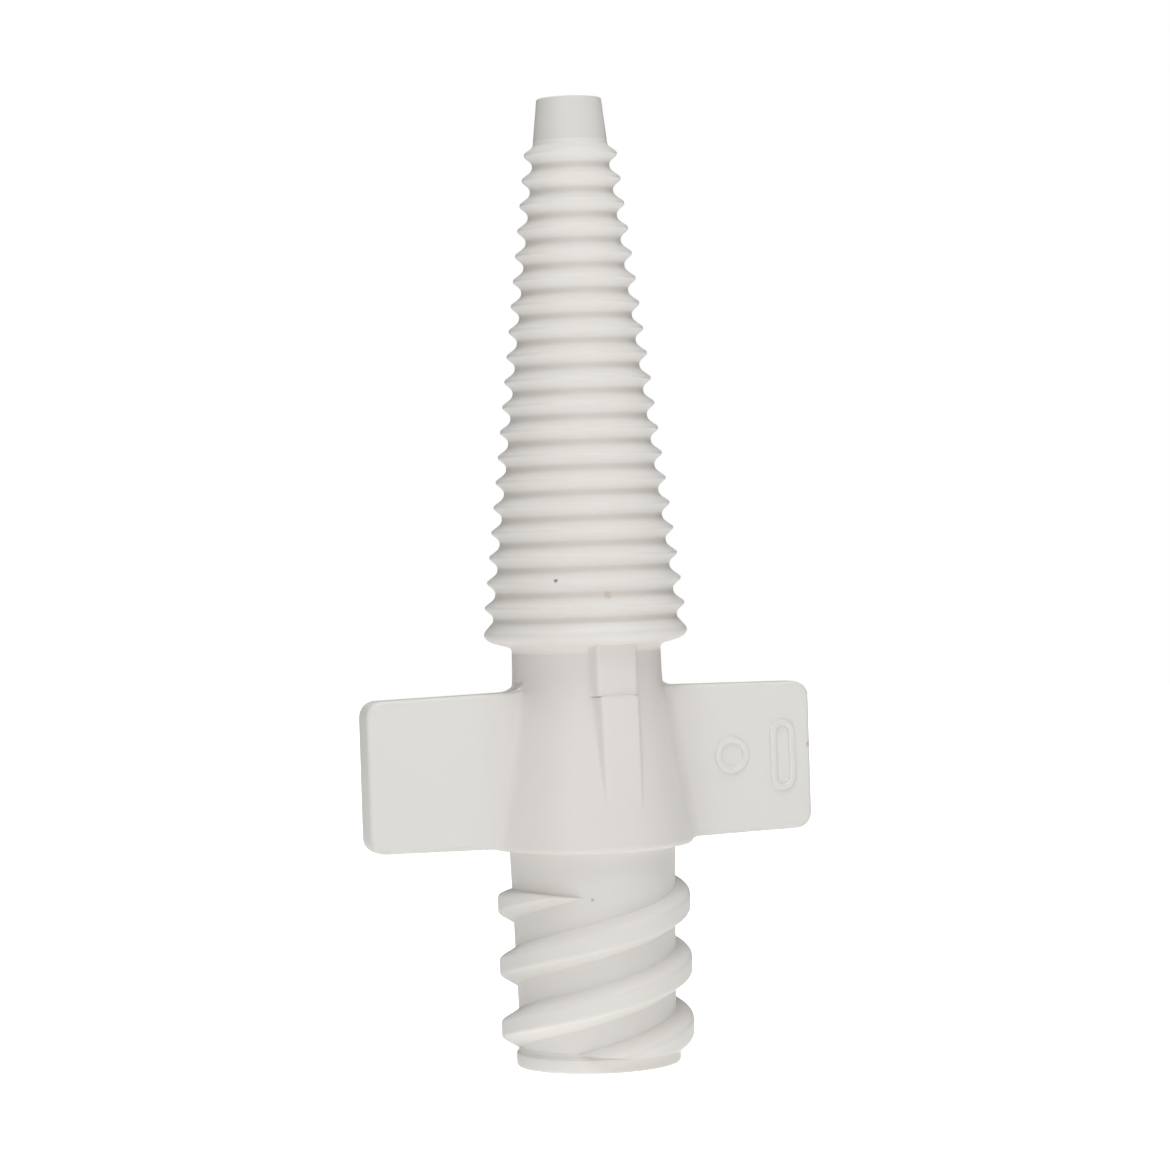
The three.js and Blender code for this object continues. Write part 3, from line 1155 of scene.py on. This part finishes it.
    def neck(self, material: Material) -> Piece:
        """Makes the plain neck, up to the underside of the stem's bead.

        Args:
            material: The zone's finish.

        Returns:
            The piece.
        """
        end = node_span("neck")[2] - self.neck_gap
        heights = [lerp(self.shoulder, end, k / 6) for k in range(7)]
        outline = [(self.radius(height), height) for height in heights]
        outline.append((self.passage.radius(end), end))
        outline.append((self.passage.radius(self.shoulder), self.shoulder))
        return settle(turned("neck_sleeve", outline), material, "neck")

    def build(self, material: Material) -> list[Piece]:
        """Makes the hub and the neck."""
        return [self.body(material), self.neck(material)]


@dataclass
class Key:
    """A flat-faced bar that stands out of the hub, with a lower step above it.

    Lengths are in millimetres.
    """

    hub: Hub
    face: Face
    half_width: float = 0.8
    reach: float = 3.52
    foot_reach: float = 3.71
    step_reach: float = 3.32
    step_height: float = 14.8
    edge: float = 0.09
    corner: float = 0.1
    corner_blend: float = 0.17
    root_blend: float = 0.17
    foot_blend: float = 0.04
    draft: float = 0.2
    step_half_width: float = 0.86
    spread: float = 20.0
    flank_spread: float = 2.6
    buried: float = 0.35
    foot_height: float = 1.8
    blend_height: float = 1.0
    sink: float = 0.012
    round_height: float = 0.3
    step_drop: float = 0.09
    overlap: float = 0.35

    def bar(self, height: float) -> Point2:
        """Half width and reach of the bar at a height.

        Args:
            height: Height in millimetres.

        Returns:
            The half width and the reach.
        """
        if height > self.step_height:
            return self.step_half_width, self.step_reach
        depth = self.step_height - height
        whole = self.step_height - self.hub.bottom - self.foot_height
        reach = lerp(self.reach, self.foot_reach, depth / whole)
        return self.half_width - rounded_end(depth, self.corner), reach - rounded_end(depth, self.edge)

    def ring(self, height: float) -> Ring:
        """Section of the key at a height, with its back buried in the hub.

        Args:
            height: Height in millimetres.

        Returns:
            The ring.
        """
        half_width, reach = self.bar(height)
        skin = self.hub.radius(height)
        corner = math.degrees(math.atan2(self.half_width, self.reach))
        flank = corner + self.flank_spread
        offsets = [corner * k / 8 for k in range(7)]
        offsets += [lerp(corner * 6 / 8, flank, k / 16) for k in range(1, 17)]
        offsets += [lerp(flank, self.spread, k / 4) for k in range(1, 5)]
        angles = [-a for a in reversed(offsets[1:])] + offsets
        share = smooth_step(self.hub.bottom + self.blend_height, self.step_height, height)
        blend = lerp(self.foot_blend, self.root_blend, share)
        distances = [self._distance(a, half_width, reach, skin, blend) for a in angles]
        outer = [self._point(math.radians(a), d, height) for a, d in zip(angles, distances)]
        back = [math.radians(a) for a in (self.spread, 0.0, -self.spread)]
        inner = [self._point(a, skin - self.buried, height) for a in back]
        return outer + inner

    def _distance(
        self, angle: float, half_width: float, reach: float, skin: float, blend: float
    ) -> float:
        """Distance of the surface from the axis.

        Args:
            angle: Angle in degrees from the middle of the bar.
            half_width: Half width of the bar.
            reach: Distance of the bar's face from the axis.
            skin: Radius of the hub's surface.
            blend: Length that the root rounds over.

        Returns:
            The distance in millimetres.
        """
        turn = math.radians(abs(angle))
        foot = half_width + reach * self.draft
        flank = foot / (math.sin(turn) + self.draft * math.cos(turn))
        bar = smooth_min(reach / math.cos(turn), flank, self.corner_blend)
        return smooth_max(bar, skin - self.sink, blend)

    def _point(self, turn: float, distance: float, height: float) -> Vector:
        """Corner at a turn from the middle of the bar."""
        side = self.face.value
        return Vector((distance * math.sin(turn), side * distance * math.cos(turn), height)) * MM

    def build(self, material: Material) -> Piece:
        """Makes the key.

        Args:
            material: The zone's finish.

        Returns:
            The piece.
        """
        node = f"{self.face.name.lower()}_key"
        low, high = node_span(node)[1:]
        step = self.step_height
        round_low, step_end = step - self.round_height, step + self.step_drop
        heights = [lerp(low - 0.1, round_low, k / 24) for k in range(25)]
        heights += [lerp(round_low, step, math.sin(math.radians(90.0 * k / 8))) for k in range(1, 9)]
        heights += [step + 0.03, step_end]
        heights += [lerp(step_end, high + self.overlap, k / 8) for k in range(1, 9)]
        rings = [self.ring(height) for height in heights]
        return settle(loft(f"key_{self.face.name.lower()}", rings, closed=False), material, node)


def rounded_end(depth: float, radius: float) -> float:
    """How far a rounded edge has drawn in at a depth below its end.

    Args:
        depth: Depth below the end.
        radius: Radius of the edge.

    Returns:
        The distance drawn in.
    """
    if depth >= radius:
        return 0.0
    return radius - math.sqrt(radius**2 - (radius - depth) ** 2)


@dataclass
class Wing:
    """A flat finger wing with rounded corners and edges.

    Lengths are in millimetres.
    """

    hub: Hub
    side: Side
    corner: float = 0.66
    reach: float = field(default_factory=lambda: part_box("right_wing")[1].x / MM)

    def outline(self, inset: float) -> list[Point2]:
        """Outline of the plate, drawn in by an inset except at its root.

        Args:
            inset: How far it draws in.

        Returns:
            The outline, as (x, z) points.
        """
        hub, inner = self.hub, self.reach - self.corner
        low, high = hub.wing_edge(inner, False), hub.wing_edge(inner, True)
        bottom = [(lerp(hub.root, inner, k / 4), False) for k in range(4)]
        points = [(x, hub.wing_edge(x, above) + inset) for x, above in bottom]
        points += arc((inner, low + self.corner), self.corner - inset, -90.0, 0.0, 12)
        points += arc((inner, high - self.corner), self.corner - inset, 0.0, 90.0, 12)
        points += [(x, hub.wing_edge(x, True) - inset) for x, _ in reversed(bottom)]
        return points

    def ring(self, inset: float, depth: float) -> Ring:
        """The outline at a depth in front of the wing's middle plane."""
        side = self.side.value
        return [Vector((side * x, -depth, z)) * MM for x, z in self.outline(inset)]

    def build(self, material: Material) -> Piece:
        """Makes the wing.

        Args:
            material: The zone's finish.

        Returns:
            The piece.
        """
        half, edge, rows = self.hub.half_wing, self.hub.edge, self.hub.turn_rows
        layers = [(edge + self.hub.lap, half)]
        for k in range(rows + 1):
            turn = math.radians(90.0 * (1.0 - k / rows))
            layers.append((edge * (1.0 - math.cos(turn)), half - edge * (1.0 - math.sin(turn))))
        layers += [(inset, -depth) for inset, depth in reversed(layers)]
        name = self.side.name.lower()
        rings = [self.ring(inset, depth) for inset, depth in layers]
        return settle(loft(f"wing_{name}", rings, closed=False), material, f"{name}_wing")


@dataclass
class RaisedMark:
    """A raised rim on the front face of the right wing: a ring, or a stadium with straight sides.

    Lengths are in millimetres.
    """

    name: str
    node: str
    stroke: float = 0.28
    buried: float = 0.08
    fullness: float = 0.55
    rows: int = 15
    columns: int = 96

    def recipe(self) -> GeometryRecipe:
        """Builds the tree that sweeps a rounded rib round a stadium.

        Returns:
            The recipe, ready to run.
        """
        r = GeometryRecipe(self.node)
        across, up, face = r.sizes("Centre X", "Centre Z", "Face Y")
        width, straight = r.sizes("Middle Radius", "Straight Half Length")
        stroke, height, depth = r.sizes("Half Stroke", "Height", "Buried Depth")
        rows, columns = r.counts("Rows", "Columns")
        material = r.material()
        grid = skin_grid(r, columns, rows)
        sweep = r.math("MULTIPLY", grid.share, math.pi)
        rise = r.math("POWER", r.math("SINE", sweep, clamp=True), self.fullness)
        cosine = r.math("COSINE", sweep)
        spread = r.math("POWER", r.math("ABSOLUTE", cosine), self.fullness)
        offset = r.math("MULTIPLY", r.math("MULTIPLY", spread, r.math("SIGN", cosine)), stroke)
        reach = r.math("ADD", width, offset)
        angle = r.math("MULTIPLY", grid.along, 2.0 * math.pi)
        sine = r.math("SINE", angle)
        end = r.math("SIGN", r.math("SNAP", sine, 0.001))
        x = r.math("MULTIPLY_ADD", reach, r.math("COSINE", angle), across)
        z = r.math("ADD", r.math("MULTIPLY_ADD", reach, sine, up), r.math("MULTIPLY", end, straight))
        proud = r.mix(grid.outer, r.math("MULTIPLY", depth, -1.0), r.math("MULTIPLY", rise, height))
        y = r.math("SUBTRACT", face, proud)
        r.end(grid.geometry, (x, y, z), material)
        return r

    def build(self, material: Material) -> Piece:
        """Makes the rim where its CAD node stands.

        Args:
            material: The zone's finish.

        Returns:
            The piece.
        """
        low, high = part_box(self.node)
        middle = (low + high) / 2
        half = (high - low) / 2
        stroke = 0.5 * self.stroke * MM
        piece = self.recipe().piece(
            self.name,
            {
                "Centre X": middle.x,
                "Centre Z": middle.z,
                "Face Y": high.y,
                "Middle Radius": half.x - stroke,
                "Straight Half Length": half.z - half.x,
                "Half Stroke": stroke,
                "Height": high.y - low.y,
                "Buried Depth": self.buried * MM,
                "Rows": self.rows,
                "Columns": self.columns,
                "Material": material,
            },
        )
        return settle(piece, material, self.node)


class ThreadStart(Enum):
    """The two starts of the thread, half a turn apart."""

    A = 0
    B = 1


@dataclass
class Socket:
    """The luer-lock socket: barrel, end collar and double-start right-hand thread.

    Lengths are in millimetres. The collar's fillet is points out from the barrel and above the
    collar's node.
    """

    passage: Passage
    top_radius: float = 3.32
    bottom_radius: float = 3.11
    top_fillet: float = 0.12
    collar_edge: float = 0.14
    collar_rim: float = 0.06
    collar_chamfer: float = 0.12
    collar_fillet: tuple[Point2, ...] = (
        (0.11, 0.02), (0.04, 0.08), (0.0, 0.24), (-0.15, 0.24), (-0.15, 0.0),
    )
    lead: float = 5.0
    thread_radius: float = 3.86
    crest_width: float = 0.74
    base_width: float = 1.56
    run_out: float = 0.3
    end_edge: float = 0.2
    foot_blend: float = 0.45
    crest_blend: float = 0.42
    thread_sink: float = 0.01
    thread_buried: float = 0.4
    phase: float = 53.6
    thread_rows: int = 48
    steps_per_turn: int = 96

    def barrel_radius(self, height: float) -> float:
        """Radius of the barrel at a height."""
        low, high = node_span("luer_socket")[1:]
        return lerp(self.bottom_radius, self.top_radius, (height - low) / (high - low))

    def barrel(self, material: Material) -> Piece:
        """Makes the barrel, with the luer taper and the step to the lumen inside it.

        Args:
            material: The zone's finish.

        Returns:
            The piece.
        """
        _, low, high = node_span("luer_socket")
        inner, fillet = self.passage, self.top_fillet
        heights = [lerp(low, high - fillet, k / 8) for k in range(8)]
        outline = [(self.barrel_radius(height), height) for height in heights]
        outline += arc((self.top_radius + fillet, high - fillet), fillet, 180.0, 90.0, 5)
        bore = (high, inner.floor + inner.step, inner.floor, 5.0, 2.5, low)
        outline += [(inner.radius(height), height) for height in bore]
        return settle(turned("socket_barrel", outline), material, "luer_socket")

    def collar(self, material: Material) -> Piece:
        """Makes the collar at the socket's end, with rounded edges and a chamfered mouth.

        Args:
            material: The zone's finish.

        Returns:
            The piece.
        """
        radius, low, high = node_span("socket_lip")
        edge, rim, chamfer = self.collar_edge, self.collar_rim, self.collar_chamfer
        outline = [(self.passage.radius(0.0) + chamfer, low)]
        outline += arc((radius - edge, low + edge), edge, -90.0, 0.0, 6)
        outline += arc((radius - rim, high - 0.08), rim, 0.0, 90.0, 4)
        outline += [(self.bottom_radius + out, high + rise) for out, rise in self.collar_fillet]
        outline.append((self.passage.radius(high), high))
        outline.append((self.passage.radius(chamfer), low + chamfer))
        return settle(turned("mouth_collar", outline), material, "socket_lip")

    def thread_recipe(self) -> GeometryRecipe:
        """Builds the tree that sweeps the ridge's profile up the helix, cut level at both ends.

        Returns:
            The recipe, ready to run.
        """
        r = GeometryRecipe("thread_ridge")
        lead, phase, low, high = r.sizes("Lead", "Phase", "Lowest", "Highest")
        root, crest = r.sizes("Root Radius", "Crest Radius")
        base, flat = r.sizes("Base Half Width", "Crest Half Width")
        fade, edge, buried = r.sizes("Run Out", "Edge Radius", "Buried Radius")
        rows, columns = r.counts("Rows", "Columns")
        material = r.material()
        grid = skin_grid(r, columns, rows)
        overrun = r.math("DIVIDE", base, r.math("ADD", fade, 1.0))
        middle = r.mix(grid.along, r.math("SUBTRACT", low, overrun), r.math("ADD", high, overrun))
        above = r.math("MAXIMUM", r.math("SUBTRACT", middle, high), 0.0)
        below = r.math("MAXIMUM", r.math("SUBTRACT", low, middle), 0.0)
        low = r.math("MULTIPLY_ADD", below, fade, low)
        high = r.math("SUBTRACT", high, r.math("MULTIPLY", above, fade))
        start = r.math("MAXIMUM", r.math("MULTIPLY", base, -1.0), r.math("SUBTRACT", low, middle))
        stop = r.math("MINIMUM", base, r.math("SUBTRACT", high, middle))
        offset = r.mix(grid.share, start, stop)
        height = r.math("ADD", middle, offset)
        from_foot = r.math("SUBTRACT", base, r.math("ABSOLUTE", offset))
        slope = r.math("DIVIDE", from_foot, r.math("SUBTRACT", base, flat))
        rise = r.math("SMOOTH_MAX", slope, 0.0, self.foot_blend)
        rise = r.math("SMOOTH_MIN", rise, 1.0, self.crest_blend)
        radius = r.math("MULTIPLY_ADD", r.math("SUBTRACT", crest, root), rise, root)
        past = r.math("SUBTRACT", edge, r.math("SUBTRACT", high, height))
        near = r.math("DIVIDE", past, edge, clamp=True)
        left = r.math("SUBTRACT", 1.0, r.math("MULTIPLY", near, near), clamp=True)
        round_off = r.math("SUBTRACT", 1.0, r.math("SQRT", left))
        drop = r.math("MULTIPLY", r.math("MULTIPLY", round_off, edge), rise)
        radius = r.math("SUBTRACT", radius, drop)
        radius = r.mix(grid.outer, buried, radius)
        angle = r.math("MULTIPLY_ADD", r.math("DIVIDE", middle, lead), 2.0 * math.pi, phase)
        r.end(grid.geometry, (*r.round_axis(radius, angle), height), material)
        return r

    def thread(self, start: ThreadStart, material: Material) -> Piece:
        """Makes one start of the thread.

        Args:
            start: Which start.
            material: The zone's finish.

        Returns:
            The piece.
        """
        node = f"thread_start_{start.name.lower()}"
        _, low, high = node_span(node)
        turns = (high - low + self.base_width) / self.lead
        piece = self.thread_recipe().piece(
            f"thread_{start.name.lower()}",
            {
                "Lead": self.lead * MM,
                "Phase": math.radians(self.phase + 180.0 * start.value),
                "Lowest": low * MM,
                "Highest": high * MM,
                "Root Radius": (self.bottom_radius - self.thread_sink) * MM,
                "Crest Radius": self.thread_radius * MM,
                "Base Half Width": 0.5 * self.base_width * MM,
                "Crest Half Width": 0.5 * self.crest_width * MM,
                "Run Out": self.run_out,
                "Edge Radius": self.end_edge * MM,
                "Buried Radius": (self.bottom_radius - self.thread_buried) * MM,
                "Rows": self.thread_rows,
                "Columns": math.ceil(turns * self.steps_per_turn),
                "Material": material,
            },
        )
        return settle(piece, material, node)

    def build(self, material: Material) -> list[Piece]:
        """Makes the barrel, the collar and the two starts of the thread."""
        threads = [self.thread(start, material) for start in ThreadStart]
        return [self.barrel(material), self.collar(material), *threads]


# ---- Studio ------------------------------------------------------------------------------------


@dataclass(frozen=True)
class Softbox:
    """A square soft light: its place and side in metres, and its power in watts."""

    name: str
    place: Point3
    side: float
    power: float


@dataclass(frozen=True)
class Pool:
    """A round pool of light on the floor: its middle, the radii where it starts and ends fading."""

    centre: Point3
    full: float
    end: float
    strength: float

    def glow(self, recipe: ShaderRecipe, where: NodeSocket) -> NodeSocket:
        """Emission of the pool at a place on the floor.

        Args:
            recipe: The floor's shader.
            where: Place on the floor.

        Returns:
            The emission.
        """
        away = recipe.node("ShaderNodeVectorMath", operation="DISTANCE")
        recipe.feed(away.inputs[0], where)
        away.inputs[1].default_value = self.centre
        return recipe.remap(away.outputs["Value"], (self.full, self.end), (self.strength, 0.0))


@dataclass
class Studio:
    """White studio: surrounding light, a soft main light, a pale floor and the camera.

    Lengths are in metres.
    """

    softboxes: tuple[Softbox, ...] = (
        Softbox("main_softbox", (0.0, -0.2, 0.45), 0.3, 0.65),
        Softbox("left_softbox", (-0.35, -0.35, 0.15), 0.3, 0.305),
    )
    sky: float = 0.776
    floor_radius: float = 0.3
    floor_facets: int = 96
    floor_glow: float = 0.127
    wide_pool: Pool = Pool((0.0, -0.1, 0.0), 0.03, 0.07, 2.15)
    near_pool: Pool = Pool((0.0, -0.006, 0.0), 0.004, 0.014, 0.32)
    azimuth: float = -21.31
    elevation: float = 0.93
    roll: float = 1.83
    distance: float = 0.14497
    lens: float = 111.5
    sensor: float = 36.0
    aim: Point3 = (0.000037, -0.000013, -0.000135)

    def surround(self) -> None:
        """Lights the scene from all round, brighter above, and shows a white background."""
        world = bpy.data.worlds.new("white_surround")
        world.use_nodes = True
        bpy.context.scene.world = world
        recipe = ShaderRecipe(world.node_tree)
        background = world.node_tree.nodes["Background"]
        direction = recipe.node("ShaderNodeTexCoord").outputs["Generated"]
        rise = recipe.remap(recipe.split(direction)[2], (0.1, 0.9))
        glow = recipe.tint(rise, BLACK, (self.sky, self.sky, self.sky, 1.0))
        camera_ray = recipe.node("ShaderNodeLightPath").outputs["Is Camera Ray"]
        recipe.feed(background.inputs["Color"], recipe.tint(camera_ray, glow, WHITE))

    def hang(self, softbox: Softbox) -> None:
        """Hangs a soft light that faces the object and that the camera doesn't see.

        Args:
            softbox: The light.
        """
        lamp = bpy.data.lights.new(softbox.name, "AREA")
        lamp.size, lamp.energy = softbox.side, softbox.power
        light = add_object(softbox.name, lamp)
        light.location = softbox.place
        middle = sum(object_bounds(), Vector()) / 2
        light.rotation_euler = (middle - light.location).to_track_quat("-Z", "Y").to_euler()
        light.visible_camera = False

    def floor(self) -> None:
        """Lays a round pale floor that is see-through from below."""
        facets = self.floor_facets
        turns = [math.radians(360.0 * k / facets) for k in range(facets)]
        ring = [(self.floor_radius * math.cos(a), self.floor_radius * math.sin(a), 0.0) for a in turns]
        mesh = bpy.data.meshes.new("studio_floor")
        mesh.from_pydata(ring, [], [tuple(range(facets))])
        floor = add_object("studio_floor", mesh)
        material = bpy.data.materials.new("pale_floor")
        material.use_nodes = True
        recipe = ShaderRecipe(material.node_tree)
        skin = material.node_tree.nodes["Principled BSDF"]
        where = recipe.node("ShaderNodeTexCoord").outputs["Object"]
        tone = recipe.noise(where, 0.02, 3.0)
        colour = recipe.tint(tone, (0.9, 0.9, 0.89, 1.0), (0.93, 0.93, 0.925, 1.0))
        recipe.feed(skin.inputs["Base Color"], colour)
        recipe.feed(skin.inputs["Roughness"], recipe.remap(tone, (0.0, 1.0), (0.75, 0.85)))
        glow = recipe.math("ADD", self.wide_pool.glow(recipe, where), self.floor_glow)
        glow = recipe.math("ADD", glow, self.near_pool.glow(recipe, where))
        seen = recipe.node("ShaderNodeLightPath").outputs["Is Camera Ray"]
        recipe.feed(skin.inputs["Emission Strength"], recipe.math("MAXIMUM", glow, seen))
        skin.inputs["Emission Color"].default_value = WHITE
        clear = recipe.node("ShaderNodeBsdfTransparent")
        either = recipe.node("ShaderNodeMixShader")
        below = recipe.node("ShaderNodeNewGeometry").outputs["Backfacing"]
        for socket, value in zip(either.inputs, (below, skin.outputs[0], clear.outputs[0])):
            recipe.feed(socket, value)
        surface = material.node_tree.nodes["Material Output"].inputs["Surface"]
        recipe.feed(surface, either.outputs[0])
        mesh.materials.append(material)
        floor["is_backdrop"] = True

    def camera(self) -> None:
        """Sets up the camera at its place round the object."""
        data = bpy.data.cameras.new("studio_camera")
        data.lens, data.sensor_width = self.lens, self.sensor
        data.clip_start, data.clip_end = 0.01, 10.0
        camera = add_object("studio_camera", data)
        turn, rise = math.radians(self.azimuth), math.radians(self.elevation)
        level_reach = math.cos(rise)
        back = Vector((math.sin(turn) * level_reach, -math.cos(turn) * level_reach, math.sin(rise)))
        middle = sum(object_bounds(), Vector()) / 2 + Vector(self.aim)
        level = (-back).to_track_quat("-Z", "Y").to_matrix().to_4x4()
        tilt = Matrix.Rotation(math.radians(-self.roll), 4, "Z")
        camera.matrix_world = Matrix.Translation(middle + back * self.distance) @ level @ tilt
        bpy.context.scene.camera = camera

    def build(self) -> None:
        """Sets the view transform, the light, the floor and the camera."""
        bpy.context.scene.view_settings.view_transform = "Standard"
        self.surround()
        for softbox in self.softboxes:
            self.hang(softbox)
        self.floor()
        self.camera()


# ---- Assembly ----------------------------------------------------------------------------------


@dataclass(frozen=True)
class ZoneFinishes:
    """The finish of each group of zones."""

    ribs: Material
    tip: Material
    hub: Material
    socket: Material

    @classmethod
    def build(cls, stem: RibbedStem) -> "ZoneFinishes":
        """Makes the four finishes.

        Args:
            stem: The stem, whose grooves get painted shade with a dust tint.

        Returns:
            The finishes.
        """
        groups = FinishGroups()
        ribs = SatinMoulding(
            "satin_ribs",
            light=(0.853, 0.831, 0.8, 1.0),
            warm=(0.838, 0.81, 0.77, 1.0),
            # The rib grooves get painted shade with a dust tint.
            grooves=Grooves(stem.lowest_crest - 0.5 * stem.pitch, stem.pitch, stem.ribs),
            flecks=(
                Fleck((-2.34, -3.02, 19.4), 0.11, 0.8, BLACK_DIRT),
                Fleck((-0.42, -3.6, 18.78), 0.2, 0.28, RUST),
            ),
        )
        tip = SatinMoulding(
            "satin_tip", light=(0.775, 0.757, 0.73, 1.0), warm=(0.76, 0.738, 0.705, 1.0)
        )
        hub = SatinMoulding(
            "satin_hub",
            light=(0.828, 0.798, 0.768, 1.0),
            thin=ThinEdge(3.8, 5.6, (0.822, 0.813, 0.78, 1.0)),
            flecks=(Fleck((9.35, -0.6, 12.32), 0.13, 0.35, GREY_DIRT),),
        )
        socket = SatinMoulding(
            "satin_socket", flecks=(Fleck((-1.24, -3.02, 6.86), 0.085, 0.45, GREY_DIRT),)
        )
        return cls(*(finish.build(groups) for finish in (ribs, tip, hub, socket)))


def report(pieces: Iterable[Piece]) -> None:
    """Logs each piece with the number of its faces."""
    for piece in pieces:
        LOG.info("%s: %d faces", piece.name, len(piece.data.polygons))


def main() -> None:
    """Builds the adapter and its studio."""
    logging.basicConfig(level=logging.INFO, format="%(name)s %(message)s")
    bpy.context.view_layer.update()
    Studio().build()
    passage = Passage()
    stem, hub = RibbedStem(passage), Hub(passage)
    finishes = ZoneFinishes.build(stem)
    report(stem.build(finishes.ribs, finishes.tip))
    report(hub.build(finishes.hub))
    report(Key(hub, face).build(finishes.hub) for face in Face)
    report(Wing(hub, side).build(finishes.hub) for side in Side)
    marks = (RaisedMark("wing_ring", "wing_roundel"), RaisedMark("wing_bar_badge", "wing_badge"))
    report(mark.build(finishes.hub) for mark in marks)
    report(Socket(passage).build(finishes.socket))


if __name__ == "__main__":
    main()
